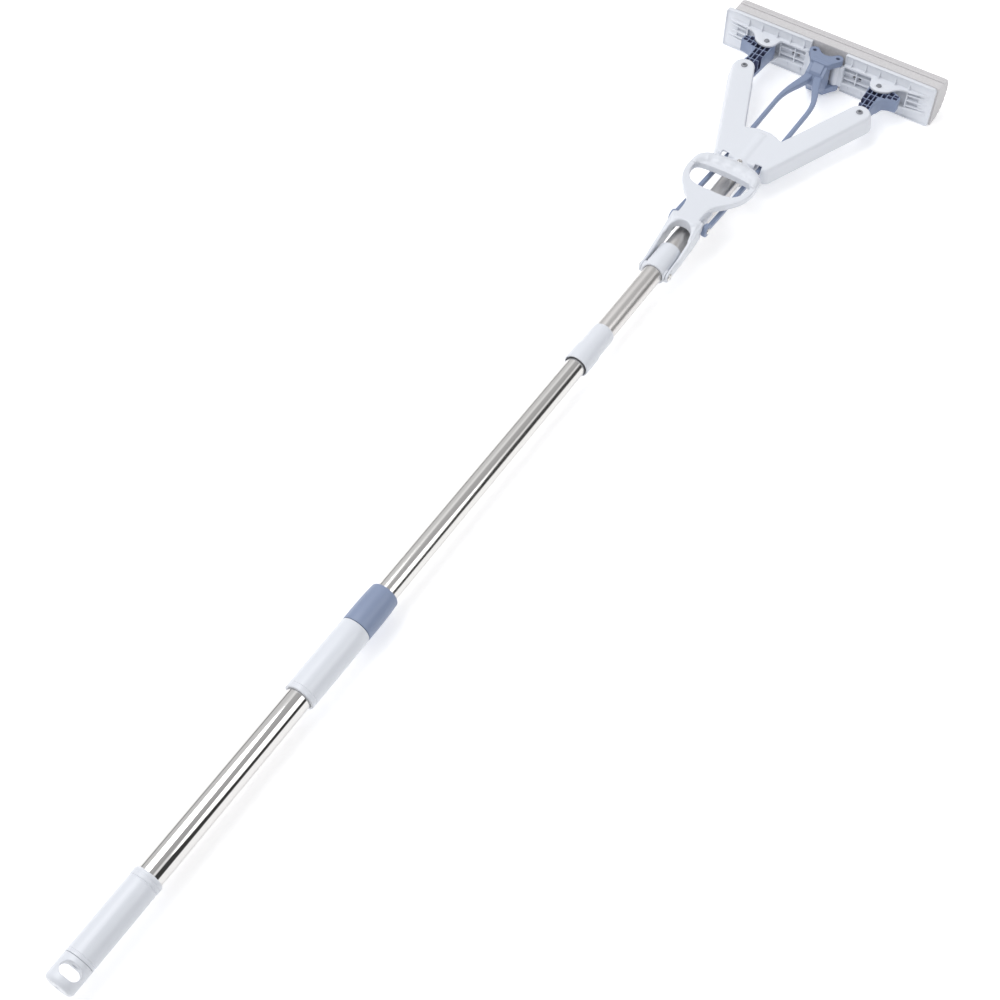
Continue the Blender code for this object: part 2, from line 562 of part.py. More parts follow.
def make_sponge():
    profile = sponge_profile()
    middle = prism_x(profile, -SPONGE_SPLIT + GAP / 2, SPONGE_SPLIT - GAP / 2)
    piece("sponge_middle", middle, "puller", SPONGE)
    for side, word, end in ((-1, "left", -SPONGE_LEFT), (1, "right", SPONGE_RIGHT)):
        half = flip(prism_x(profile, SPONGE_SPLIT + GAP / 2, end), side)
        sponge = piece("sponge_" + word, half, "plate_" + word, SPONGE)
        strip = box((30.0, 122.0), (SPONGE_BACK, SPONGE_BACK + 2.0), (-9.0, 9.0))
        pocket = box((29.7, 122.3), (SPONGE_BACK - 1.0, SPONGE_BACK + 2.3), (-9.3, 9.3))
        cut(sponge, flip(pocket, side))
        anchor = piece("sponge_anchor_" + word, flip(strip, side), "plate_" + word, NAVY)
        for x in (36.6, 43.4):
            stud = box((x - 1.5, x + 1.5), (PLATE_T - 1.6, SPONGE_BACK + 1.0), (-6.5, -3.5))
            join(anchor, flip(stud, side))


def main():
    clear_scene()
    EMPTIES.clear()
    make_empties()
    make_pole()
    make_lever_bracket()
    make_lever()
    make_rods()
    make_centre_bracket()
    make_frame()
    make_links()
    make_plates()
    make_sponge()


main()
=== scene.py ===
import math

import bmesh
import bpy
from mathutils import Matrix, Vector


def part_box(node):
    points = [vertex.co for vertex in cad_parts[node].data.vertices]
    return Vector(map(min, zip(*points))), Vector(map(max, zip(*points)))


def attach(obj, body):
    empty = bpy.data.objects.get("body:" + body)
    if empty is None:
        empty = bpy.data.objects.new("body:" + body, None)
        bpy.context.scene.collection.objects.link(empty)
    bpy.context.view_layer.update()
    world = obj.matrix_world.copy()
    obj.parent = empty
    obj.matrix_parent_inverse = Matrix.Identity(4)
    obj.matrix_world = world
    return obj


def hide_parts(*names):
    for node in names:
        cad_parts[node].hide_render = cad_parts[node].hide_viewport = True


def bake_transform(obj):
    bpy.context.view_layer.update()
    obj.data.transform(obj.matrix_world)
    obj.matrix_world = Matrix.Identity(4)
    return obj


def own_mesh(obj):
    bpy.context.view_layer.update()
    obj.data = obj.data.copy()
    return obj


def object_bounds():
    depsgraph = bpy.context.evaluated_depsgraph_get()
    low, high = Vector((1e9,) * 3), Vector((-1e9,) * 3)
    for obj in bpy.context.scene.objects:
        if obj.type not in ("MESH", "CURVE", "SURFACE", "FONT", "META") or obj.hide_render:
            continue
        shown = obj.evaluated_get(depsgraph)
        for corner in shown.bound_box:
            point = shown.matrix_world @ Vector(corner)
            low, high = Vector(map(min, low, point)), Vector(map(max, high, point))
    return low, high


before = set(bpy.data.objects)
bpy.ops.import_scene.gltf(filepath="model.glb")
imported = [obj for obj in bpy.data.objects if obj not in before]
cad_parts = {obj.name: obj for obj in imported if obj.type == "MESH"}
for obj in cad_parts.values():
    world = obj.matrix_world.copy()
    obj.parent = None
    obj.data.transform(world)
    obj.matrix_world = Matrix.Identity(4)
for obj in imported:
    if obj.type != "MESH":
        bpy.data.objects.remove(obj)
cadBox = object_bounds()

mm = 0.001

# Everything below is drawn in millimetres in the head's own frame: x across, y along the pole
# with 0 at the plates' rim, z up from the pole's axis. The frame says where that is.
tubeLow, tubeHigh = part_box("head_tube")
rimToTubeEnd = 166.0
origin = Vector((0.0, tubeHigh.y + rimToTubeEnd * mm, (tubeLow.z + tubeHigh.z) / 2))
sides = ((-1, "left"), (1, "right"))
print("frame: head rim at y %.4f, pole axis at z %.4f" % (origin.y, origin.z))


# ---- shader effects shared by the finishes ----

def newGroup(name, inputs, outputs):
    group = bpy.data.node_groups.new(name, "ShaderNodeTree")
    for label, kind, start in inputs:
        socket = group.interface.new_socket(name=label, in_out="INPUT", socket_type=kind)
        if start is not None:
            socket.default_value = start
    for label, kind in outputs:
        group.interface.new_socket(name=label, in_out="OUTPUT", socket_type=kind)
    entry = group.nodes.new("NodeGroupInput")
    leave = group.nodes.new("NodeGroupOutput")
    return group, entry.outputs, leave.inputs


def addNode(tree, kind, **settings):
    node = tree.nodes.new(kind)
    for key, value in settings.items():
        setattr(node, key, value)
    return node


def buildToneGroup():
    # Slow cloudy drift in colour and gloss, as in any moulded or rolled surface
    group, given, made = newGroup(
        "surfaceTone",
        [("Colour", "NodeSocketColor", None), ("Scale", "NodeSocketFloat", 30.0),
         ("Drift", "NodeSocketFloat", 0.05), ("Roughness", "NodeSocketFloat", 0.4),
         ("Roughness Drift", "NodeSocketFloat", 0.08)],
        [("Colour", "NodeSocketColor"), ("Roughness", "NodeSocketFloat")])
    link = group.links.new
    coords = addNode(group, "ShaderNodeTexCoord")
    cloud = addNode(group, "ShaderNodeTexNoise")
    cloud.inputs["Detail"].default_value = 4.0
    link(coords.outputs["Object"], cloud.inputs["Vector"])
    link(given["Scale"], cloud.inputs["Scale"])
    centred = addNode(group, "ShaderNodeMath", operation="SUBTRACT")
    centred.inputs[1].default_value = 0.5
    link(cloud.outputs["Fac"], centred.inputs[0])
    shift = addNode(group, "ShaderNodeMath", operation="MULTIPLY_ADD")
    shift.inputs[2].default_value = 1.0
    link(centred.outputs[0], shift.inputs[0])
    link(given["Drift"], shift.inputs[1])
    tinted = addNode(group, "ShaderNodeVectorMath", operation="SCALE")
    link(given["Colour"], tinted.inputs[0])
    link(shift.outputs[0], tinted.inputs["Scale"])
    link(tinted.outputs[0], made["Colour"])
    gloss = addNode(group, "ShaderNodeMath", operation="MULTIPLY_ADD", use_clamp=True)
    link(centred.outputs[0], gloss.inputs[0])
    link(given["Roughness Drift"], gloss.inputs[1])
    link(given["Roughness"], gloss.inputs[2])
    link(gloss.outputs[0], made["Roughness"])
    return group


def buildGrainGroup():
    # Fine spark-eroded grain of a mould, plus a faint sink wave
    group, given, made = newGroup(
        "mouldGrain",
        [("Grain Scale", "NodeSocketFloat", 1800.0), ("Grain Depth", "NodeSocketFloat", 0.1),
         ("Wave Depth", "NodeSocketFloat", 0.1)],
        [("Normal", "NodeSocketVector")])
    link = group.links.new
    coords = addNode(group, "ShaderNodeTexCoord")
    grain = addNode(group, "ShaderNodeTexNoise")
    wave = addNode(group, "ShaderNodeTexNoise")
    grain.inputs["Detail"].default_value = 2.0
    wave.inputs["Scale"].default_value = 55.0
    for texture in (grain, wave):
        link(coords.outputs["Object"], texture.inputs["Vector"])
    link(given["Grain Scale"], grain.inputs["Scale"])
    coarse = addNode(group, "ShaderNodeBump")
    coarse.inputs["Distance"].default_value = 0.0012
    link(wave.outputs["Fac"], coarse.inputs["Height"])
    link(given["Wave Depth"], coarse.inputs["Strength"])
    fine = addNode(group, "ShaderNodeBump")
    fine.inputs["Distance"].default_value = 0.00008
    link(grain.outputs["Fac"], fine.inputs["Height"])
    link(given["Grain Depth"], fine.inputs["Strength"])
    link(coarse.outputs["Normal"], fine.inputs["Normal"])
    link(fine.outputs["Normal"], made["Normal"])
    return group


def buildDrawGroup():
    # Draw lines that run along the tube
    group, given, made = newGroup(
        "tubeDrawLines",
        [("Roughness", "NodeSocketFloat", 0.2), ("Spread", "NodeSocketFloat", 0.1),
         ("Depth", "NodeSocketFloat", 0.1)],
        [("Roughness", "NodeSocketFloat"), ("Normal", "NodeSocketVector")])
    link = group.links.new
    coords = addNode(group, "ShaderNodeTexCoord")
    stretch = addNode(group, "ShaderNodeMapping")
    stretch.inputs["Scale"].default_value = (900.0, 6.0, 900.0)
    lines = addNode(group, "ShaderNodeTexNoise")
    lines.inputs["Scale"].default_value = 1.0
    lines.inputs["Detail"].default_value = 3.0
    link(coords.outputs["Object"], stretch.inputs["Vector"])
    link(stretch.outputs[0], lines.inputs["Vector"])
    gloss = addNode(group, "ShaderNodeMath", operation="MULTIPLY_ADD", use_clamp=True)
    link(lines.outputs["Fac"], gloss.inputs[0])
    link(given["Spread"], gloss.inputs[1])
    link(given["Roughness"], gloss.inputs[2])
    link(gloss.outputs[0], made["Roughness"])
    bump = addNode(group, "ShaderNodeBump")
    bump.inputs["Distance"].default_value = 0.00005
    link(lines.outputs["Fac"], bump.inputs["Height"])
    link(given["Depth"], bump.inputs["Strength"])
    link(bump.outputs["Normal"], made["Normal"])
    return group


def buildPoreGroup():
    # Open cells of the sponge: small dark pits in a pale skin, the dark being painted shade inside
    # the pores
    group, given, made = newGroup(
        "foamPores",
        [("Cell Scale", "NodeSocketFloat", 1100.0), ("Depth", "NodeSocketFloat", 0.5)],
        [("Pit", "NodeSocketFloat"), ("Normal", "NodeSocketVector")])
    link = group.links.new
    coords = addNode(group, "ShaderNodeTexCoord")
    cells = addNode(group, "ShaderNodeTexVoronoi")
    lumps = addNode(group, "ShaderNodeTexNoise")
    lumps.inputs["Scale"].default_value = 420.0
    lumps.inputs["Detail"].default_value = 5.0
    for texture in (cells, lumps):
        link(coords.outputs["Object"], texture.inputs["Vector"])
    link(given["Cell Scale"], cells.inputs["Scale"])
    pit = addNode(group, "ShaderNodeMapRange")
    pit.inputs["From Min"].default_value = 0.12
    pit.inputs["From Max"].default_value = 0.42
    link(cells.outputs["Distance"], pit.inputs["Value"])
    mixed = addNode(group, "ShaderNodeMath", operation="MULTIPLY")
    link(pit.outputs["Result"], mixed.inputs[0])
    link(lumps.outputs["Fac"], mixed.inputs[1])
    bump = addNode(group, "ShaderNodeBump")
    bump.inputs["Distance"].default_value = 0.0004
    link(mixed.outputs[0], bump.inputs["Height"])
    link(given["Depth"], bump.inputs["Strength"])
    link(mixed.outputs[0], made["Pit"])
    link(bump.outputs["Normal"], made["Normal"])
    return group


toneGroup = buildToneGroup()
grainGroup = buildGrainGroup()
drawGroup = buildDrawGroup()
poreGroup = buildPoreGroup()


# ---- finishes ----

def place(material, group, values):
    node = material.node_tree.nodes.new("ShaderNodeGroup")
    node.node_tree = group
    for label, value in values.items():
        node.inputs[label].default_value = value
    return node


def startMaterial(name, constants):
    material = bpy.data.materials.new(name)
    material.use_nodes = True
    shader = material.node_tree.nodes["Principled BSDF"]
    for label, value in constants.items():
        shader.inputs[label].default_value = value
    return material, shader, material.node_tree.links.new


def plasticFinish(name, settings):
    material, shader, link = startMaterial(name, settings["constants"])
    tone = place(material, toneGroup, settings["tone"])
    grain = place(material, grainGroup, settings["grain"])
    link(tone.outputs["Colour"], shader.inputs["Base Color"])
    link(tone.outputs["Roughness"], shader.inputs["Roughness"])
    link(grain.outputs["Normal"], shader.inputs["Normal"])
    return material


def steelFinish(name, settings):
    material, shader, link = startMaterial(name, settings["constants"])
    tone = place(material, toneGroup, settings["tone"])
    draw = place(material, drawGroup, settings["draw"])
    link(tone.outputs["Colour"], shader.inputs["Base Color"])
    link(draw.outputs["Roughness"], shader.inputs["Roughness"])
    link(draw.outputs["Normal"], shader.inputs["Normal"])
    return material


def spongeFinish(name, settings):
    material, shader, link = startMaterial(name, settings["constants"])
    tone = place(material, toneGroup, settings["tone"])
    pores = place(material, poreGroup, settings["pores"])
    # Mix the pale skin with the darker tone colour by the pit mask: the dark cell centres are
    # painted shade in the pores, and the cloudy noise that scatters them is random tone
    mix = addNode(material.node_tree, "ShaderNodeMix", data_type="RGBA")
    mix.inputs["B"].default_value = settings["skin"]
    link(pores.outputs["Pit"], mix.inputs["Factor"])
    link(tone.outputs["Colour"], mix.inputs["A"])
    link(mix.outputs["Result"], shader.inputs["Base Color"])
    link(tone.outputs["Roughness"], shader.inputs["Roughness"])
    link(pores.outputs["Normal"], shader.inputs["Normal"])
    return material


whiteGloss = plasticFinish("whiteGloss", {
    "constants": {"Specular IOR Level": 0.4, "Coat Weight": 0.18, "Coat Roughness": 0.10},
    "tone": {"Colour": (0.665, 0.69, 0.74, 1), "Scale": 22.0, "Drift": 0.03,
             "Roughness": 0.36, "Roughness Drift": 0.10},
    "grain": {"Grain Scale": 1500.0, "Grain Depth": 0.05, "Wave Depth": 0.10}})
whiteSatin = plasticFinish("whiteSatin", {
    "constants": {"Specular IOR Level": 0.45},
    "tone": {"Colour": (0.685, 0.71, 0.76, 1), "Scale": 18.0, "Drift": 0.03,
             "Roughness": 0.42, "Roughness Drift": 0.10},
    "grain": {"Grain Scale": 1900.0, "Grain Depth": 0.22, "Wave Depth": 0.05}})
slateSatin = plasticFinish("slateSatin", {
    "constants": {"Specular IOR Level": 0.45},
    "tone": {"Colour": (0.215, 0.265, 0.39, 1), "Scale": 26.0, "Drift": 0.09,
             "Roughness": 0.40, "Roughness Drift": 0.12},
    "grain": {"Grain Scale": 1700.0, "Grain Depth": 0.25, "Wave Depth": 0.06}})
# Dark navy: the sponge anchors' own colour, and also painted shade on the walls and floors of the
# links' deep pockets
navyAndPocketShade = plasticFinish("navyAndPocketShade", {
    "constants": {"Specular IOR Level": 0.3},
    "tone": {"Colour": (0.075, 0.085, 0.165, 1), "Scale": 40.0, "Drift": 0.15,
             "Roughness": 0.6, "Roughness Drift": 0.10},
    "grain": {"Grain Scale": 1700.0, "Grain Depth": 0.3, "Wave Depth": 0.05}})
mirrorSteel = steelFinish("mirrorSteel", {
    "constants": {"Metallic": 1.0},
    "tone": {"Colour": (0.66, 0.65, 0.64, 1), "Scale": 12.0, "Drift": 0.04},
    "draw": {"Roughness": 0.035, "Spread": 0.05, "Depth": 0.05}})
rolledSteel = steelFinish("rolledSteel", {
    "constants": {"Metallic": 1.0},
    "tone": {"Colour": (0.66, 0.65, 0.635, 1), "Scale": 12.0, "Drift": 0.05},
    "draw": {"Roughness": 0.10, "Spread": 0.12, "Depth": 0.12}})
dullSteel = steelFinish("dullSteel", {
    "constants": {"Metallic": 1.0},
    "tone": {"Colour": (0.36, 0.37, 0.40, 1), "Scale": 60.0, "Drift": 0.10},
    "draw": {"Roughness": 0.30, "Spread": 0.15, "Depth": 0.2}})
# Near black steel for the hinge pins: painted shade standing in for the dark recessed holes in the
# bosses beside the plates
hingePinPaintedShade = steelFinish("hingePinPaintedShade", {
    "constants": {"Metallic": 0.6},
    "tone": {"Colour": (0.05, 0.06, 0.10, 1), "Scale": 60.0, "Drift": 0.10},
    "draw": {"Roughness": 0.45, "Spread": 0.15, "Depth": 0.2}})
satinSteel = steelFinish("satinSteel", {
    "constants": {"Metallic": 1.0},
    "tone": {"Colour": (0.66, 0.645, 0.63, 1), "Scale": 14.0, "Drift": 0.06},
    "draw": {"Roughness": 0.27, "Spread": 0.14, "Depth": 0.25}})
foam = spongeFinish("foam", {
    "constants": {"Specular IOR Level": 0.15, "Sheen Weight": 0.15},
    # the darker tone colour is painted shade in the pores; the skin is the foam's own pale colour
    "tone": {"Colour": (0.52, 0.51, 0.52, 1), "Scale": 35.0, "Drift": 0.06,
             "Roughness": 0.92, "Roughness Drift": 0.05},
    "skin": (0.68, 0.67, 0.68, 1),
    "pores": {"Cell Scale": 1300.0, "Depth": 0.3}})
print("finishes made:", len(bpy.data.materials))


# ---- mesh tools ----

def makeObject(name, points, faces, finish, sharp=35):
    mesh = bpy.data.meshes.new(name)
    mesh.from_pydata([Vector(p) * mm + origin for p in points], [], faces)
    tidy = bmesh.new()
    tidy.from_mesh(mesh)
    bmesh.ops.recalc_face_normals(tidy, faces=tidy.faces)
    tidy.to_mesh(mesh)
    tidy.free()
    made = bpy.data.objects.new(name, mesh)
    bpy.context.collection.objects.link(made)
    mesh.materials.append(finish)
    mesh.shade_smooth()
    mesh.set_sharp_from_angle(angle=math.radians(sharp))
    return made


def stack(rings, closed=False):
    size = len(rings[0])
    points = [p for ring in rings for p in ring]
    spans = len(rings) if closed else len(rings) - 1
    faces = []
    for i in range(spans):
        a, b = i * size, ((i + 1) % len(rings)) * size
        faces += [(a + j, a + (j + 1) % size, b + (j + 1) % size, b + j) for j in range(size)]
    if not closed:
        faces += [tuple(range(size)), tuple(range(len(points) - size, len(points)))]
    return points, faces


def circle(radius, steps):
    turns = [2 * math.pi * i / steps for i in range(steps)]
    return [(radius * math.cos(t), radius * math.sin(t)) for t in turns]


def arc(centre, radius, first, last, steps):
    turns = [math.radians(first + (last - first) * i / steps) for i in range(steps + 1)]
    return [(centre[0] + radius * math.cos(t), centre[1] + radius * math.sin(t)) for t in turns]


def curveThrough(points, steps, closed=False):
    # Catmull-Rom through the given points
    count = len(points)
    made = []
    for i in range(count if closed else count - 1):
        pick = [points[(i + k) % count] if closed else points[min(max(i + k, 0), count - 1)]
                for k in (-1, 0, 1, 2)]
        for s in range(steps):
            t = s / steps
            made.append(tuple(
                0.5 * (2 * b + (c - a) * t + (2 * a - 5 * b + 4 * c - d) * t * t
                       + (3 * b - a - 3 * c + d) * t ** 3) for a, b, c, d in zip(*pick)))
    return made if closed else made + [tuple(points[-1])]


def mirrored(half):
    # Right half of an outline, from its first point on the middle line to its last
    return half + [(-x, y) for x, y in reversed(half) if abs(x) > 0.01]


def prismZ(outline, low, high):
    return stack([[(x, y, low) for x, y in outline], [(x, y, high) for x, y in outline]])


def prismX(outline, low, high):
    return stack([[(low, y, z) for y, z in outline], [(high, y, z) for y, z in outline]])


def prismY(outline, low, high):
    return stack([[(x, low, z) for x, z in outline], [(x, high, z) for x, z in outline]])


def box(x, y, z):
    return prismZ([(x[0], y[0]), (x[1], y[0]), (x[1], y[1]), (x[0], y[1])], z[0], z[1])


def discZ(centre, levels, steps=40):
    return stack([[(centre[0] + x, centre[1] + y, z) for x, y in circle(r, steps)]
                  for r, z in levels])


def discX(centre, levels, steps=40):
    return stack([[(x, centre[0] + y, centre[1] + z) for y, z in circle(r, steps)]
                  for r, x in levels])


def flip(shape, side):
    return [(side * p[0], p[1], p[2]) for p in shape[0]], shape[1]


def turnedOver(shape, degrees):
    # Turn a shape about the pole
    c, s = math.cos(math.radians(degrees)), math.sin(math.radians(degrees))
    return [(x * c + z * s, y, z * c - x * s) for x, y, z in shape[0]], shape[1]


def gather(shapes):
    points, faces = [], []
    for some, around in shapes:
        faces += [tuple(i + len(points) for i in face) for face in around]
        points += some
    return points, faces


def bake(item):
    # Replace the item's mesh with what its modifiers make of it
    depsgraph = bpy.context.evaluated_depsgraph_get()
    mesh = bpy.data.meshes.new_from_object(item.evaluated_get(depsgraph), depsgraph=depsgraph)
    item.modifiers.clear()
    item.data = mesh


def carve(item, shapes, operation="DIFFERENCE", inside=0):
    for shape in shapes:
        tool = makeObject("tool", shape[0], shape[1], item.data.materials[0])
        if inside:
            tool.data.materials.append(item.data.materials[inside])
            tool.data.polygons.foreach_set("material_index", [inside] * len(tool.data.polygons))
        step = item.modifiers.new("cut", "BOOLEAN")
        step.operation = operation
        step.object = tool
        step.solver = "EXACT"
        bake(item)
        bpy.data.objects.remove(tool, do_unlink=True)


def soften(item, voxel, rounds, keep):
    # Run the shells together and round every edge, as a moulding tool does
    remesh = item.modifiers.new("skin", "REMESH")
    remesh.mode = "VOXEL"
    remesh.voxel_size = voxel * mm
    relax = item.modifiers.new("round", "SMOOTH")
    relax.factor = 0.5
    relax.iterations = rounds
    thin = item.modifiers.new("thin", "DECIMATE")
    thin.ratio = keep
    bake(item)
    item.data.shade_smooth()


def edged(item, width, segments=2, sharp=38):
    # Small radius on each sharp edge
    item.data.shade_flat()
    bevel = item.modifiers.new("edge radius", "BEVEL")
    bevel.width = width * mm
    bevel.segments = segments
    bevel.limit_method = "ANGLE"
    bevel.angle_limit = math.radians(sharp)
    bevel.miter_outer = "MITER_ARC"
    bake(item)
    item.data.shade_smooth()
    item.data.set_sharp_from_angle(angle=math.radians(50))


def settle(item, body, slot, *nodes):
    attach(item, body)
    if nodes:
        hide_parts(*nodes)
    return item


def turnedPiece(name, profile, finish, steps=96):
    rings = [[(x, y, z) for x, z in circle(r, steps)] for r, y in profile]
    points, faces = stack(rings, True)
    return makeObject(name, points, faces, finish, 30)


def lip(radius, y, bend, inward, steps=4):
    # Quarter round on an outer rim: inward is +1 where the wall continues toward +y
    made = []
    for i in range(steps + 1):
        turn = math.radians(90 * i / steps)
        made.append((radius - bend + bend * math.sin(turn),
                     y + inward * bend * (1 - math.cos(turn))))
    return made


# ---- pole ----

pole = {"outerR": 12.5, "outerBore": 11.7, "innerR": 11.0, "innerBore": 10.2,
        "outer": (-1286.0, -927.0), "inner": (-990.0, -529.6), "head": (-526.4, -166.0)}


def makeTube(name, radius, bore, span, finish, body, slot, node):
    low, high = span
    end = lip(radius, low, 0.35, 1) + lip(radius, high, 0.35, -1)[::-1]
    tube = turnedPiece(name, end + [(bore, high), (bore, low)], finish)
    settle(tube, body, slot, node)


def makeTubes():
    makeTube("pole_outer", pole["outerR"], pole["outerBore"], pole["outer"], mirrorSteel,
             "grip_pole", "chrome", "outer_tube")
    makeTube("pole_inner", pole["innerR"], pole["innerBore"], pole["inner"], rolledSteel,
             "root", "chrome", "inner_tube")
    makeTube("pole_head", pole["innerR"], pole["innerBore"], pole["head"], satinSteel,
             "root", "satin_steel", "head_tube")


gripShape = {"radius": 14.0, "end": -1314.0, "seam": -1289.0, "top": -1205.0, "bore": 12.8,
             "capInner": 10.0, "capRise": 4.5, "capWall": 2.4, "capStem": 2.0,
             "holeCentre": -1300.0, "holeHalf": 3.6, "holeR": 6.0, "holeTurn": 22.0}


def makeGrip():
    g = gripShape
    r, seam, top = g["radius"], g["seam"], g["top"]
    profile = lip(r, seam + 0.1, 0.3, 1)
    profile += [(r, seam + 2.4), (r - 0.35, seam + 2.8), (r - 0.35, seam + 3.4), (r, seam + 3.8),
                (r + 0.1, seam + 30.0), (r + 0.15, seam + 50.0), (r, top - 9.0),
                (r - 0.35, top - 8.5), (r - 0.35, top - 7.9), (r + 0.2, top - 7.4),
                (r + 0.4, top - 6.6), (r + 0.4, top - 4.8), (r, top - 4.2), (r, top - 3.8),
                (r + 0.3, top - 3.2), (r + 0.3, top - 1.4), (r - 0.3, top - 0.4), (r - 0.7, top),
                (g["bore"], top), (g["bore"], seam + 0.1)]
    settle(turnedPiece("grip_shell", profile, whiteGloss), "grip_pole", "white_plastic", "grip")


def makeHangCap():
    g = gripShape
    r, end, seam = g["radius"], g["end"], g["seam"]
    inner, rise, stem, bore = g["capInner"], g["capRise"], g["capStem"], r - g["capWall"]
    profile = [(stem, end), (inner - 3.0, end)]
    steps = 14
    for i in range(steps + 1):
        turn = math.radians(6 + 84 * i / steps)
        profile.append((inner + (r - inner) * math.sin(turn), end + rise - rise * math.cos(turn)))
    profile += [(r, seam - 0.1), (bore, seam - 0.1), (bore, seam - 4.0), (stem, seam - 4.0)]
    cap = turnedPiece("hang_cap_shell", profile, whiteGloss, 80)
    half, centre, hole = g["holeHalf"], g["holeCentre"], g["holeR"]
    slot = (arc((half, centre), hole, -90, 90, 18) + arc((-half, centre), hole, 90, 270, 18))
    carve(cap, [turnedOver(prismZ(slot, -r - 4, r + 4), g["holeTurn"])])
    soften(cap, 0.42, 3, 0.5)
    settle(cap, "grip_pole", "white_plastic", "hang_cap")


sleeveShape = {"radius": 15.5, "bore": 12.8, "low": -1008.0, "top": -925.3}


def makeSleeve():
    s = sleeveShape
    r, low, top = s["radius"], s["low"], s["top"]
    profile = lip(r - 0.1, low, 0.8, 1)
    profile += [(r - 0.1, low + 4.2), (r - 0.45, low + 4.7), (r - 0.45, low + 5.3),
                (r - 0.1, low + 5.8), (r, low + 30.0), (r, top - 20.0), (r - 0.1, top - 1.0),
                (r - 0.5, top), (s["bore"], top), (s["bore"], low)]
    sleeve = turnedPiece("sleeve_shell", profile, whiteGloss)
    settle(sleeve, "grip_pole", "white_plastic", "grip_sleeve")


lockShape = {"radius": 15.4, "bore": 12.9, "throat": 11.3, "low": -924.7, "seat": -900.0,
             "top": -880.0}


def makeTwistLock():
    s = lockShape
    r, low, top = s["radius"], s["low"], s["top"]
    profile = lip(r - 0.1, low, 0.5, 1)
    profile += [(r, low + 12.0), (r, low + 22.0), (r - 0.1, low + 26.0), (r - 0.3, low + 32.0),
                (r - 0.6, low + 38.0), (r - 0.9, top - 2.0), (r - 1.2, top - 0.9),
                (r - 1.7, top - 0.3), (r - 2.4, top), (s["throat"], top),
                (s["throat"], s["seat"]), (s["bore"], s["seat"]), (s["bore"], low)]
    lock = turnedPiece("twist_lock_shell", profile, slateSatin)
    settle(lock, "twist_lock", "slate_plastic", "twist_lock")


collarShape = {"wide": 13.7, "narrow": 12.6, "bore": 12.3, "throat": 11.3, "low": -554.0,
               "top": -500.0}


def makeCollar():
    s = collarShape
    wide, narrow, low, top = s["wide"], s["narrow"], s["low"], s["top"]
    profile = lip(wide, low, 0.6, 1)
    profile += [(wide, low + 22.0), (wide - 0.2, low + 23.4), (narrow + 0.15, low + 24.2),
                (narrow, low + 25.0), (narrow, top - 3.0), (narrow - 0.2, top - 0.8),
                (narrow - 0.6, top), (s["throat"], top), (s["throat"], low + 5.0),
                (s["bore"], low + 4.0), (s["bore"], low)]
    collar = turnedPiece("collar_shell", profile, whiteGloss)
    settle(collar, "root", "white_plastic", "joint_collar")


makeTubes()
makeGrip()
makeHangCap()
makeSleeve()
makeTwistLock()
makeCollar()
print("pole made")


# ---- lever and its bracket ----

clampShape = {"wide": 13.5, "narrow": 13.3, "bore": 11.3, "low": -401.0, "top": -363.0,
              "bossIn": 11.8, "bossOut": 14.1}

leverShape = {
    "pivotY": -396.0, "pivotR": 6.5, "pinR": 2.4, "armIn": 14.4, "armOut": 17.2, "strapOut": 18.6,
    "earY": -325.0, "earZ": 12.0, "earR": 6.0, "panelLow": 17.5, "panelTop": 26.0, "loopZ": 24.0,
    "windowY": -351.0, "windowR": 13.2, "voxel": 0.7,
    "barWidth": (7.4, 17.0), "barHeight": (11.0, 13.0), "bump": 0.9, "bumpStep": 14.0,
    "arm": [(-366.0, -4.5), (-344.0, -2.0), (-330.0, 2.0), (-330.0, 22.5), (-337.0, 22.0),
            (-346.0, 18.5), (-360.0, 13.0), (-376.0, 9.0)],
    "strap": [(-386.0, 4.0), (-376.0, 9.0), (-360.0, 14.0), (-346.0, 20.0), (-337.0, 24.0),
              (-330.0, 26.0), (-330.0, 14.0), (-350.0, 9.0), (-372.0, 2.5)],
    "brow": [(-354.0, 15.0), (-352.0, 18.0), (-345.0, 21.5), (-337.0, 26.5), (-330.0, 27.0),
             (-330.0, 16.0), (-345.0, 14.0)],
    "panel": [(12.8, -338.0), (13.0, -318.0), (16.5, -305.0), (28.5, -291.5), (37.6, -277.0),
              (40.9, -260.0), (38.8, -243.5), (31.0, -232.5), (19.0, -228.0), (0.0, -226.5)],
    "fingerHole": [(0.0, -283.0), (14.0, -282.8), (25.5, -279.5), (32.2, -270.5),
                   (34.4, -260.5), (31.5, -252.8), (16.0, -250.2), (0.0, -249.6)],
    "bar": [(35.5, -256.0), (35.6, -251.0), (32.5, -243.5), (25.0, -239.0), (13.0, -237.2),
            (0.0, -236.6)]}


def makeLeverBracket():
    s, c = leverShape, clampShape
    low, top = c["low"], c["top"]
    profile = lip(c["wide"], low, 0.8, 1) + [(c["wide"], low + 12), (c["narrow"], top - 8)]
    profile += lip(c["narrow"], top, 1.0, -1)[::-1] + [(c["bore"], top), (c["bore"], low)]
    bracket = turnedPiece("bracket_shell", profile, whiteGloss, 80)
    for side, word in sides:
        boss = discX((s["pivotY"], 0.0), [(s["pivotR"], c["bossIn"]), (s["pivotR"], c["bossOut"])])
        carve(bracket, [flip(boss, side)], "UNION")
    carve(bracket, [discX((s["pivotY"], 0.0), [(s["pinR"], -20.0), (s["pinR"], 20.0)])])
    edged(bracket, 0.35, 2, 40)
    settle(bracket, "root", "white_plastic", "lever_bracket")


def sweepOval(path, sizes, steps=20):
    rings = []
    for i, here in enumerate(path):
        ahead = Vector(path[min(i + 1, len(path) - 1)]) - Vector(path[max(i - 1, 0)])
        across = ahead.normalized().cross(Vector((0, 0, 1))).normalized()
        width, height = sizes[i]
        rings.append([tuple(Vector(here) + across * (c * width / 2)
                            + Vector((0, 0, s * height / 2))) for c, s in circle(1.0, steps)])
    return stack(rings)


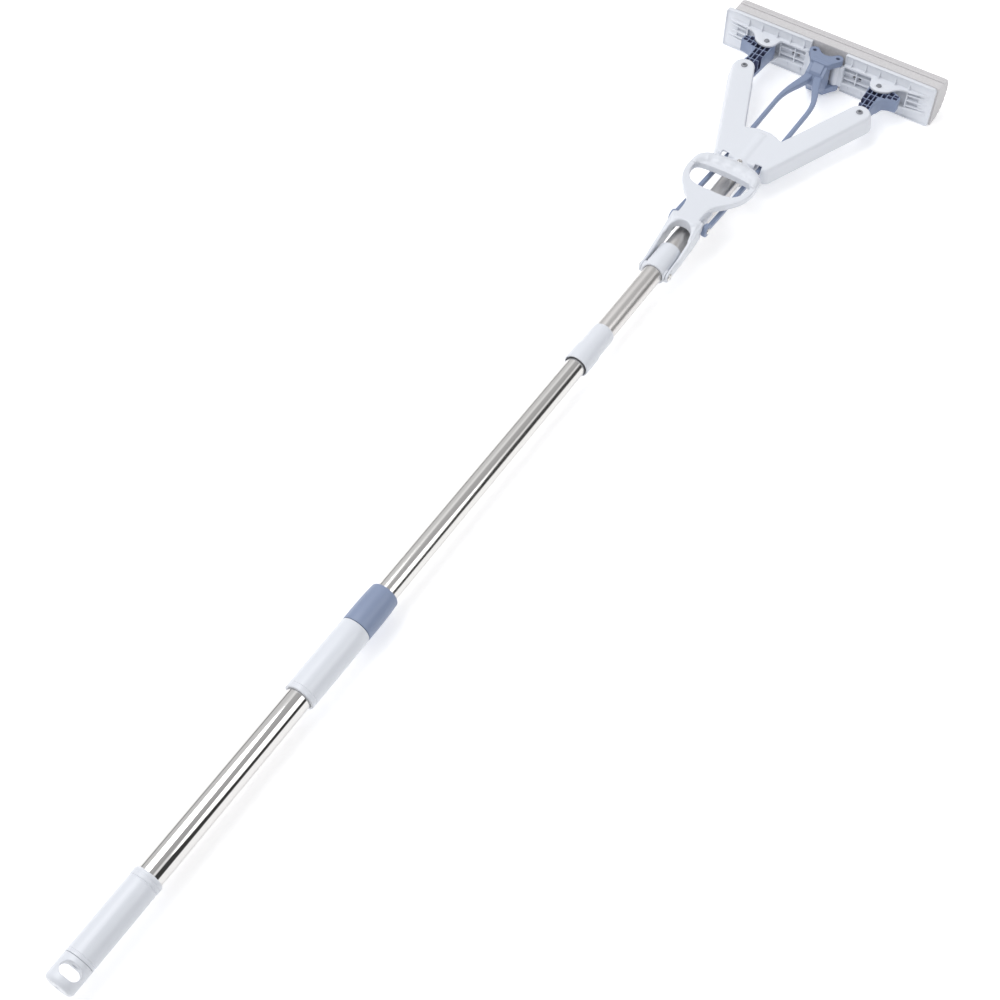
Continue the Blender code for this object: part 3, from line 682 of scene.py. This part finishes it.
def leverArms():
    # Two side arms, the arch and the brow that tie them, and the hollow neck
    s = leverShape
    arm = arc((s["pivotY"], 0.0), s["pivotR"], 100, 270, 20) + s["arm"]
    parts = [flip(prismX(arm, s["armIn"], s["armOut"]), side) for side, word in sides]
    parts += [flip(prismX(s["strap"], s["armIn"], s["strapOut"]), side) for side, word in sides]
    arch = (arc((0.0, 3.5), s["armOut"], 0, 180, 40) + arc((0.0, 3.5), s["armIn"], 180, 0, 40))
    top = s["panelTop"]
    neck = [(13.0, 6.0), (13.0, top - 2.0), (11.0, top - 0.4)]
    neckIn = [(11.4, top - 4.5), (11.4, 6.0)]
    shell = neck + [(-x, z) for x, z in reversed(neck)]
    shell += [(-x, z) for x, z in reversed(neckIn)] + neckIn
    return parts + [prismY(arch, -349.0, -331.0), prismX(s["brow"], -15.5, 15.5),
                    prismY(shell, -340.0, -296.0)]


def fingerBar():
    # Oval bar of the loop, thicker across the middle and gently bumped for the fingers
    s = leverShape
    path = [(x, y, s["loopZ"]) for x, y in curveThrough(s["bar"], 8)]
    path += [(-x, y, z) for x, y, z in reversed(path[:-1])]
    (thin, wide), (shallow, tall) = s["barWidth"], s["barHeight"]
    sizes = []
    for x, y, z in path:
        grow = min(1.0, max(0.0, (y + 256.0) / 16.0))
        wave = s["bump"] * math.cos(x * 2 * math.pi / s["bumpStep"]) * (abs(x) < 28)
        sizes.append((thin + (wide - thin) * grow, shallow + (tall - shallow) * grow + wave))
    return sweepOval(path, sizes)


def makeLever():
    s = leverShape
    window = ([(-s["windowR"], -400.0), (s["windowR"], -400.0)]
              + arc((0.0, s["windowY"]), s["windowR"], 0, 180, 24))
    outer = mirrored([(0.0, -338.0)] + curveThrough(s["panel"], 8))
    panel = prismZ(outer, s["panelLow"] + 1.5, s["panelTop"] + 1.0)
    hole = mirrored(curveThrough(s["fingerHole"], 8))
    ear = discX((s["earY"], s["earZ"]), [(s["earR"], 12.0), (s["earR"], 17.3)])
    lever = makeObject("lever_shell", *gather(leverArms() + [panel]), whiteGloss)
    remesh = lever.modifiers.new("skin", "REMESH")
    remesh.mode = "VOXEL"
    remesh.voxel_size = s["voxel"] * mm
    bake(lever)
    carve(lever, [prismZ(hole, 5.0, 40.0), prismZ(window, -10.0, 40.0)])
    grown = gather([([tuple((v.co - origin) / mm) for v in lever.data.vertices],
                     [tuple(p.vertices) for p in lever.data.polygons]),
                    fingerBar()] + [flip(ear, side) for side, word in sides])
    bpy.data.objects.remove(lever, do_unlink=True)
    lever = makeObject("lever_shell", *grown, whiteGloss)
    soften(lever, s["voxel"], 9, 0.45)
    carve(lever, [discX((s["pivotY"], 0.0), [(s["pinR"], -25.0), (s["pinR"], 25.0)])])
    lever.data.shade_smooth()
    lever.data.set_sharp_from_angle(angle=math.radians(45))
    settle(lever, "lever", "white_plastic", "lever")


makeLeverBracket()
makeLever()
print("lever made")


# ---- V frame ----

frameShape = {"voxel": 0.8, "rounds": 7, "keep": 0.4}


def copyOfNode(node, name, finish):
    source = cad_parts[node]
    mesh = source.data.copy()
    mesh.materials.clear()
    mesh.materials.append(finish)
    made = bpy.data.objects.new(name, mesh)
    bpy.context.collection.objects.link(made)
    seam = bmesh.new()
    seam.from_mesh(mesh)
    bmesh.ops.remove_doubles(seam, verts=seam.verts, dist=0.000002)
    seam.to_mesh(mesh)
    seam.free()
    return made


def makeVFrame():
    shell = copyOfNode("v_frame", "v_frame_shell", whiteSatin)
    soften(shell, frameShape["voxel"], frameShape["rounds"], frameShape["keep"])
    settle(shell, "root", "frame_plastic", "v_frame")


makeVFrame()
print("V frame made")


# ---- pull rods and centre bracket ----

rodShape = {
    "x": 20.3, "width": 5.0, "height": 6.0, "corner": 1.4, "flexY": -150.0, "earR": 7.5,
    "tailEnd": -315.0, "tailRise": 11.4, "tailSteps": 28, "blendFrom": -135.0, "blendTo": -165.0,
    # x, y, z, width, height of each leg from the bracket out to the straight rod
    "leg": [(5.6, -31.0, 5.5, 9.0, 9.0), (6.6, -37.0, 5.0, 9.6, 9.0), (8.6, -43.5, 4.2, 9.6, 8.4),
            (11.8, -51.0, 3.2, 8.8, 7.8), (15.6, -60.0, 1.9, 7.4, 6.8),
            (18.4, -69.0, 0.8, 6.0, 6.2), (19.9, -79.0, 0.2, 5.2, 6.0),
            (20.3, -90.0, 0.0, 5.0, 6.0)]}


def rodRing(centre, width, height):
    c = rodShape["corner"]
    w, h = width / 2 - c, height / 2 - c
    ring = []
    for x, z, first in ((w, h, 0), (-w, h, 90), (-w, -h, 180), (w, -h, 270)):
        ring += arc((x, z), c, first, first + 90, 4)
    return [(centre[0] + a, centre[1], centre[2] + b) for a, b in ring]


def makeRods():
    r = rodShape
    x, flexY, steps = r["x"], r["flexY"], r["tailSteps"]
    along = [(x, y, 0.0) for y in range(-96, round(flexY), -6)]
    along += [(x, flexY + (r["tailEnd"] - flexY) * i / steps, r["tailRise"] * i / steps)
              for i in range(steps + 1)]
    along.append((x, -321.0, 12.0))
    rings = [rodRing(spot[:3], *spot[3:]) for spot in curveThrough(r["leg"], 5)]
    rings += [rodRing(spot, r["width"], r["height"]) for spot in along]
    joint = (leverShape["earY"], leverShape["earZ"])
    ear = discX(joint, [(6.9, 17.8), (r["earR"], 18.3), (r["earR"], 22.3), (6.9, 22.8)])
    hole = discX(joint, [(leverShape["pinR"], 10.0), (leverShape["pinR"], 30.0)])
    for side, word in sides:
        shape = flip(gather([stack(rings), ear]), side)
        rod = makeObject("pull_rod_" + word, *shape, slateSatin)
        soften(rod, 0.55, 5, 0.5)
        carve(rod, [flip(hole, side)])
        rod.data.shade_smooth()
        rod.data.set_sharp_from_angle(angle=math.radians(45))
        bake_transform(rod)
        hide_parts("rod_front_" + word, "rod_tail_" + word)


bracketShape = {"shortenFrom": -20.0, "shortenTo": 0.72, "voxel": 0.5, "rounds": 5, "keep": 0.4}


def makeBracket():
    s = bracketShape
    shell = copyOfNode("centre_bracket", "bracket_casting", slateSatin)
    start = origin.y + s["shortenFrom"] * mm
    for vertex in shell.data.vertices:
        if vertex.co.y < start:
            vertex.co.y = start + (vertex.co.y - start) * s["shortenTo"]
    soften(shell, s["voxel"], s["rounds"], s["keep"])
    settle(shell, "puller", "slate_plastic", "centre_bracket")


makeRods()
makeBracket()
print("rods and bracket made")


# ---- links ----

linkShape = {
    "low": -9.0, "top": 11.0, "pinX": 74.0, "pinY": -66.5, "earX": 72.7, "earY": -13.5,
    "pinR": 2.9, "bushR": 3.7, "floor": -3.5, "wingLow": -5.2,
    "hollow": [(81.9, -65.0), (81.3, -52.0), (79.8, -44.0), (80.0, -37.0), (82.3, -31.5),
               (86.3, -27.5), (91.5, -24.8), (96.5, -23.3), (101.0, -22.8)],
    "tip": [(101.0, -14.5), (86.0, -8.5), (62.5, -8.5), (63.0, -20.0)],
    # near corner, width and depth of each pocket
    "cells": [(64.5, -57.0, 4.6, 8.8), (64.5, -47.0, 4.6, 8.8), (64.5, -37.0, 4.6, 8.8),
              (64.5, -27.0, 4.6, 7.6), (70.2, -56.5, 4.6, 8.3), (70.2, -47.0, 4.6, 8.8),
              (70.2, -37.0, 4.6, 8.8), (70.2, -27.0, 4.6, 7.6), (75.9, -54.0, 3.2, 5.8),
              (75.9, -47.0, 2.7, 8.8), (75.9, -37.0, 3.0, 8.8), (75.9, -27.0, 5.4, 8.2),
              (82.5, -26.0, 4.4, 6.6), (82.5, -18.4, 4.4, 7.0), (88.0, -23.7, 5.0, 4.9),
              (88.0, -17.8, 5.0, 5.9), (94.1, -21.8, 5.2, 3.9), (94.1, -16.9, 5.2, 2.8)]}


def makeLinks():
    s = linkShape
    pin, ear = (s["pinX"], s["pinY"]), (s["earX"], s["earY"])
    # the hollow's first two points only steer the start of its curve
    outline = arc(pin, 8.0, 200, 350, 18) + curveThrough(s["hollow"], 4)[5:] + s["tip"]
    wing = [(79.5, -12.0), (86.0, s["wingLow"]), (104.0, s["wingLow"]), (104.0, -12.0)]
    bores = [discZ(pin, [(s["pinR"], -15.0), (s["pinR"], 15.0)]),
             discZ(ear, [(s["bushR"], -15.0), (s["bushR"], 15.0)])]
    pockets = [box((x, x + width), (y, y + depth), (s["floor"], s["top"] + 2))
               for x, y, width, depth in s["cells"]]
    for side, word in sides:
        body = "link_" + word
        block = flip(prismZ(outline, s["low"], s["top"]), side)
        link = makeObject(body + "_block", *block, slateSatin)
        # The pockets' walls and floors take the dark navy finish, painted shade for the deep narrow
        # pockets of the slate link
        link.data.materials.append(navyAndPocketShade)
        carve(link, [flip(prismY(wing, -34.0, -5.0), side)])
        carve(link, [flip(pocket, side) for pocket in pockets], "DIFFERENCE", 1)
        carve(link, [flip(bore, side) for bore in bores])
        edged(link, 0.3, 2, 40)
        settle(link, body, "slate_plastic", body)


makeLinks()
print("links made")


# ---- backing plates ----

plateShape = {
    "inner": 22.2, "outer": 135.0, "high": 26.0, "thick": 4.3, "floor": 0.9, "wall": 1.3,
    "channel": 2.9, "channelEnd": 118.0, "earEnd": 129.0, "hingeX": 15.0, "hingeY": -5.0,
    "hingeR": 2.4, "earR": 2.3, "knuckleR": 5.2, "knuckleZ": 13.0, "rise": 3.5, "halfWeb": 0.7,
    "gussets": (31.0, 48.5, 66.0, 86.5, 104.0), "ribs": ((40.0, 1.6), (59.5, 1.6), (104.0, 2.4)),
    "bars": (-4.6, 4.6), "wedges": (-7.4, 0.0, 7.4), "snaps": (36.6, 43.4),
    "shelf": [(58.5, -3.5), (60.4, -8.0), (62.0, -14.5), (66.5, -20.6), (72.7, -22.4),
              (79.5, -21.0), (86.0, -17.0), (91.0, -9.5), (97.0, -4.6), (104.0, -3.5)]}


def plateOutline(margin):
    p = plateShape
    out, high = p["outer"] - margin, p["high"] - margin
    upper, lower = max(4.0 - margin, 0.8), max(1.6 - margin, 0.4)
    return ([(p["inner"] + margin, high), (p["inner"] + margin, -high)]
            + arc((out - lower, -high + lower), lower, -90, 0, 5)
            + arc((out - upper, high - upper), upper, 0, 90, 8))


def gusset(x, wide, inside, outside, floor, deep):
    # Small triangle that stands on the floor against a rail
    points = [(inside, floor + 0.4), (inside, -deep), (outside, floor + 0.4)]
    return prismX([(y, z) for z, y in points], x - wide / 2, x + wide / 2)


def plateRibs(rails):
    # Everything that stands on the plate's floor
    p = plateShape
    inner, end, floor, high = p["inner"], p["earEnd"], p["floor"], p["high"]
    half, sunk = p["halfWeb"], p["channel"] + 0.5
    ear = ([(end, 0.4), (end, sunk), (inner + 1, sunk), (inner + 1, -p["rise"])]
           + curveThrough(p["shelf"], 6))
    grown = [prismZ(ear, low, top) for low, top in rails]
    for x in p["gussets"]:
        grown.append(gusset(x, 2 * half, rails[0][1] - 0.4, high - 1.6, floor, 2.6))
        grown.append(gusset(x, 2 * half, rails[1][0] + 0.4, -high + 1.6, floor, 2.6))
    for z in p["bars"]:
        grown.append(box((inner + 1.0, 59.0), (-1.2, sunk), (z - half, z + half)))
    for z in p["wedges"]:
        wedge = [(104.0, sunk), (104.0, -2.2), (end, floor - 0.1), (end, sunk)]
        grown.append(prismZ(wedge, z - half, z + half))
    for x, deep in p["ribs"]:
        grown.append(box((x - half, x + half), (-deep, sunk),
                         (rails[1][1] - 0.5, rails[0][0] + 0.5)))
    return grown


def plateKnuckle():
    p = plateShape
    x, y, reach = p["hingeX"], p["hingeY"], p["knuckleZ"]
    return [discZ((x, y), [(p["knuckleR"], -reach), (p["knuckleR"], reach)]),
            box((x, p["inner"] + 2.0), (y - 2.6, y + 2.6), (-reach, reach)),
            box((p["inner"] + 0.1, p["inner"] + 2.4), (y - 2.6, p["floor"] + 0.5), (-reach, reach))]


def makePlates():
    p, s = plateShape, linkShape
    rails = ((s["top"] + 0.7, s["top"] + 3.1), (s["low"] - 3.1, s["low"] - 0.7))
    hollows = [prismY(plateOutline(p["wall"]), -3.0, p["floor"]),
               box((p["inner"] + 2.0, p["channelEnd"]), (-3.0, p["channel"]), (-9.7, 11.7))]
    cuts = [discZ((p["hingeX"], p["hingeY"]), [(p["hingeR"], -20.0), (p["hingeR"], 20.0)]),
            discZ((s["earX"], s["earY"]), [(p["earR"], -20.0), (p["earR"], 20.0)])]
    cuts += [box((x - 1.8, x + 1.8), (-1.0, p["thick"] + 2), (-3.0, 3.0)) for x in p["snaps"]]
    for side, word in sides:
        body = "plate_" + word
        board = flip(prismY(plateOutline(0.0), 0.0, p["thick"]), side)
        plate = makeObject(body + "_shell", *board, whiteSatin)
        carve(plate, [flip(shape, side) for shape in hollows])
        carve(plate, [flip(shape, side) for shape in plateRibs(rails) + plateKnuckle()], "UNION")
        carve(plate, [flip(shape, side) for shape in cuts])
        edged(plate, 0.3, 2, 40)
        settle(plate, body, "frame_plastic", body)


makePlates()
print("plates made")


# ---- sponge ----

spongeShape = {
    "back": 4.6, "side": 20.0, "front": 39.0, "high": 27.0, "split": 17.0, "left": -126.0,
    "right": 137.0, "groove": 16.0, "grooveDeep": 1.9, "ribs": 10, "ribDeep": 1.9,
    "step": 3.0, "drift": 0.12, "cutEnd": 0.985,
    # how far along a rib, and how much of the rib's depth is cut away there
    "rib": ((0.05, 1.0), (0.16, 0.25), (0.30, 0.0), (0.5, 0.0), (0.7, 0.0), (0.84, 0.25),
            (0.95, 1.0))}


def spongeOutline():
    # Upper half from the plate side round to the nose, then mirrored
    s = spongeShape
    top, nose, groove = s["high"], s["front"] - s["side"], s["groove"]
    half = [(s["back"], top - 0.5), (s["back"] + 0.6, top)]
    half += [(s["back"] + 3.6 * i, top) for i in (1, 2)]
    half += [(groove - 0.9, top), (groove - 0.25, top - s["grooveDeep"]),
             (groove + 0.25, top - s["grooveDeep"]), (groove + 0.9, top), (s["side"], top)]
    span = 90.0 * 2 / s["ribs"]
    for k in range(s["ribs"] // 2):
        for share, drop in s["rib"]:
            turn = math.radians(span * (k + share))
            depth = drop * s["ribDeep"]
            half.append((s["side"] + (nose - depth) * math.sin(turn),
                         (top - depth) * math.cos(turn)))
    lower = [(y, -z) for y, z in half]
    return list(reversed(lower)) + half


def makeSponge():
    s = spongeShape
    outline = spongeOutline()
    middleY = (s["back"] + s["front"]) / 2
    spans = (("left", "plate_left", s["left"], -s["split"]),
             ("middle", "puller", -s["split"], s["split"]),
             ("right", "plate_right", s["split"], s["right"]))
    for word, body, low, high in spans:
        count = round((high - low) / s["step"])
        rings = []
        for i in range(count + 1):
            x = low + (high - low) * i / count
            # the knife crushes the outer ends a little, and the inner ends meet flush
            cutEnd = (word == "left" and i == 0) or (word == "right" and i == count)
            shrink = s["cutEnd"] if cutEnd else 1.0
            sway = s["drift"] * (math.sin(x * 0.21) + math.sin(x * 0.083 + 1.3))
            ring = []
            for y, z in outline:
                free = max(0.0, y - s["groove"]) / (s["front"] - s["groove"])
                ring.append((x, middleY + (y - middleY) * shrink - abs(sway) * free,
                             z * shrink))
            rings.append(ring)
        pad = makeObject("sponge_pad_" + word, *stack(rings), foam, 28)
        settle(pad, body, "sponge", "sponge_" + word)
        if word == "middle":
            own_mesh(pad)
        else:
            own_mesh(pad)


makeSponge()
print("sponge made")


# ---- screws, rivets and pins ----

fastenerShape = {"pivotHead": 4.1, "rodHead": 3.6, "hubHead": 3.1, "hubY": -214.0,
                 "crossHalf": 2.0, "slotHalf": 0.35, "hubCross": 1.6, "hubSlot": 0.3}


def dome(disc, centre, stem, head, start, reach):
    # Domed head on a stem, standing the way the given disc tool does
    rise = [(head * math.cos(math.radians(t)), start + reach * math.sin(math.radians(t)))
            for t in (18, 36, 54, 72)]
    return disc(centre, [stem, (stem[0], start), (head, start)] + rise, 36)


def makeFasteners():
    s, link, f = leverShape, linkShape, fastenerShape
    pivot, ear = (s["pivotY"], 0.0), (s["earY"], s["earZ"])
    cross, slot = f["crossHalf"], f["slotHalf"]
    drive = [box((18.4, 20.0), (pivot[0] - cross, pivot[0] + cross), (-slot, slot)),
             box((18.4, 20.0), (pivot[0] - slot, pivot[0] + slot), (-cross, cross))]
    screwShape = dome(discX, pivot, (2.0, 11.7), f["pivotHead"], 17.5, 1.8)
    rivetShape = dome(discX, ear, (2.0, 18.0), f["rodHead"], 23.1, 1.3)
    pinShape = discZ((link["pinX"], link["pinY"]),
                     [(4.0, -11.0), (4.0, -9.4), (2.5, -9.4), (2.5, 14.3), (3.8, 14.3),
                      (3.6, 14.9), (3.0, 15.2), (1.7, 15.2), (1.5, 13.6)], 36)
    for side, word in sides:
        screw = makeObject("pivot_screw_" + word, *flip(screwShape, side), rolledSteel, 40)
        carve(screw, [flip(shape, side) for shape in drive])
        settle(screw, "root", "chrome", "lever_screw_" + word)
        rivet = makeObject("rod_rivet_head_" + word, *flip(rivetShape, side), rolledSteel, 40)
        settle(rivet, "rod_tails", "chrome", "rod_rivet_" + word)
        pin = makeObject("arm_rivet_" + word, *flip(pinShape, side), dullSteel, 40)
        settle(pin, "root", "chrome", "arm_pin_" + word)
    y, cross, slot = f["hubY"], f["hubCross"], f["hubSlot"]
    head = dome(discZ, (0.0, y), (1.6, 11.4), f["hubHead"], 15.3, 1.1)
    hub = makeObject("hub_screw_head", *head, rolledSteel, 40)
    carve(hub, [box((-cross, cross), (y - slot, y + slot), (16.0, 17.5)),
                box((-slot, slot), (y - cross, y + cross), (16.0, 17.5))])
    settle(hub, "root", "chrome", "hub_screw")


makeFasteners()
print("fasteners made")

# The inner pieces keep their own shape and take a finish
keptFinish = {
    "tube_guide": slateSatin, "joint_plug": slateSatin, "head_tube_plug": slateSatin,
    "lock_collet": whiteSatin, "sponge_anchor_left": navyAndPocketShade, "sponge_anchor_right": navyAndPocketShade,
    # the hinge pins take the near black finish as painted shade in their recessed holes
    "hinge_pin_left": hingePinPaintedShade, "hinge_pin_right": hingePinPaintedShade,
    "ear_rivet_upper_left": dullSteel, "ear_rivet_upper_right": dullSteel}
for node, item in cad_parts.items():
    if item.hide_render:
        continue
    item.data.materials.clear()
    item.data.materials.append(keptFinish.get(node, satinSteel))
print("kept pieces finished")


# ---- floor, light and camera ----

studio = {
    "floor": (0.93, 0.93, 0.935, 1), "floorGlow": 0.32, "floorHalf": 12.0, "floorGap": 0.0004,
    "azimuth": 33.6, "elevation": 54.3, "camera": (518.0, -1471.5, 1231.0), "lens": 57.6,
    "key": {"at": (-0.9, -0.9, 2.2), "size": 1.8, "power": 26.0},
    "fill": {"at": (1.6, -0.2, 1.5), "size": 1.4, "power": 9.0}, "worldLevel": 0.80,
    # angle round the pole in degrees, and how bright the studio is there
    "cards": [(-180, 0.74), (-100, 0.74), (-94, 0.22), (-84, 0.22), (-78, 0.95), (-42, 1.1),
              (-36, 1.3), (-22, 1.3), (-12, 0.72), (30, 0.62), (37, 1.35), (48, 1.35),
              (53, 0.08), (84, 0.08), (93, 0.66), (180, 0.74)]}


def makeFloor():
    mesh = bpy.data.meshes.new("floor")
    wide = studio["floorHalf"]
    mesh.from_pydata([(-wide, -wide, 0), (wide, -wide, 0), (wide, wide, 0), (-wide, wide, 0)], [],
                     [(0, 1, 2, 3)])
    floor = bpy.data.objects.new("floor", mesh)
    bpy.context.collection.objects.link(floor)
    material, shader, link = startMaterial("paleFloor", {
        "Base Color": studio["floor"], "Roughness": 0.9, "Emission Color": (1, 1, 1, 1),
        "Emission Strength": studio["floorGlow"]})
    mesh.materials.append(material)
    floor.location.z = min(0.0, cadBox[0].z) - studio["floorGap"]


def makeWorld():
    # Bright all round with a few dark cards, for the pole to reflect
    world = bpy.data.worlds.new("studio")
    bpy.context.scene.world = world
    world.use_nodes = True
    tree = world.node_tree
    link = tree.links.new
    coords = addNode(tree, "ShaderNodeTexCoord")
    split = addNode(tree, "ShaderNodeSeparateXYZ")
    angle = addNode(tree, "ShaderNodeMath", operation="ARCTAN2")
    share = addNode(tree, "ShaderNodeMapRange")
    share.inputs["From Min"].default_value = -math.pi
    share.inputs["From Max"].default_value = math.pi
    ramp = addNode(tree, "ShaderNodeValToRGB")
    stops = ramp.color_ramp.elements
    while len(stops) < len(studio["cards"]):
        stops.new(0.5)
    for stop, (turn, level) in zip(stops, studio["cards"]):
        stop.position = (turn + 180) / 360
        stop.color = (level, level, level * 1.01, 1)
    link(coords.outputs["Generated"], split.inputs[0])
    link(split.outputs["X"], angle.inputs[0])
    link(split.outputs["Z"], angle.inputs[1])
    link(angle.outputs[0], share.inputs["Value"])
    link(share.outputs["Result"], ramp.inputs["Fac"])
    link(ramp.outputs["Color"], tree.nodes["Background"].inputs["Color"])
    tree.nodes["Background"].inputs["Strength"].default_value = studio["worldLevel"]


def makeLight(name, settings, target):
    data = bpy.data.lights.new(name, "AREA")
    data.shape = "DISK"
    data.size = settings["size"]
    data.energy = settings["power"]
    lamp = bpy.data.objects.new(name, data)
    bpy.context.collection.objects.link(lamp)
    lamp.location = Vector(settings["at"])
    lamp.rotation_mode = "QUATERNION"
    lamp.rotation_quaternion = (target - lamp.location).to_track_quat("-Z", "Y")


def makeCamera():
    a, e = math.radians(studio["azimuth"]), math.radians(studio["elevation"])
    back = Vector((math.sin(a) * math.cos(e), -math.cos(a) * math.cos(e), math.sin(e)))
    right = Vector((math.cos(a), math.sin(a), 0))
    turn = Matrix((right, back.cross(right), back)).transposed().to_4x4()
    turn.translation = Vector(studio["camera"]) * mm + origin
    camera = bpy.data.objects.new("camera", bpy.data.cameras.new("camera"))
    bpy.context.collection.objects.link(camera)
    camera.matrix_world = turn
    camera.data.lens = studio["lens"]
    camera.data.sensor_width = 36.0
    camera.data.clip_start = 0.01
    camera.data.clip_end = 50.0
    bpy.context.scene.camera = camera


makeFloor()
makeWorld()
centre = (cadBox[0] + cadBox[1]) / 2
makeLight("key", studio["key"], centre)
makeLight("fill", studio["fill"], centre)
makeCamera()
bpy.context.scene.view_settings.view_transform = "Standard"
print("studio made")
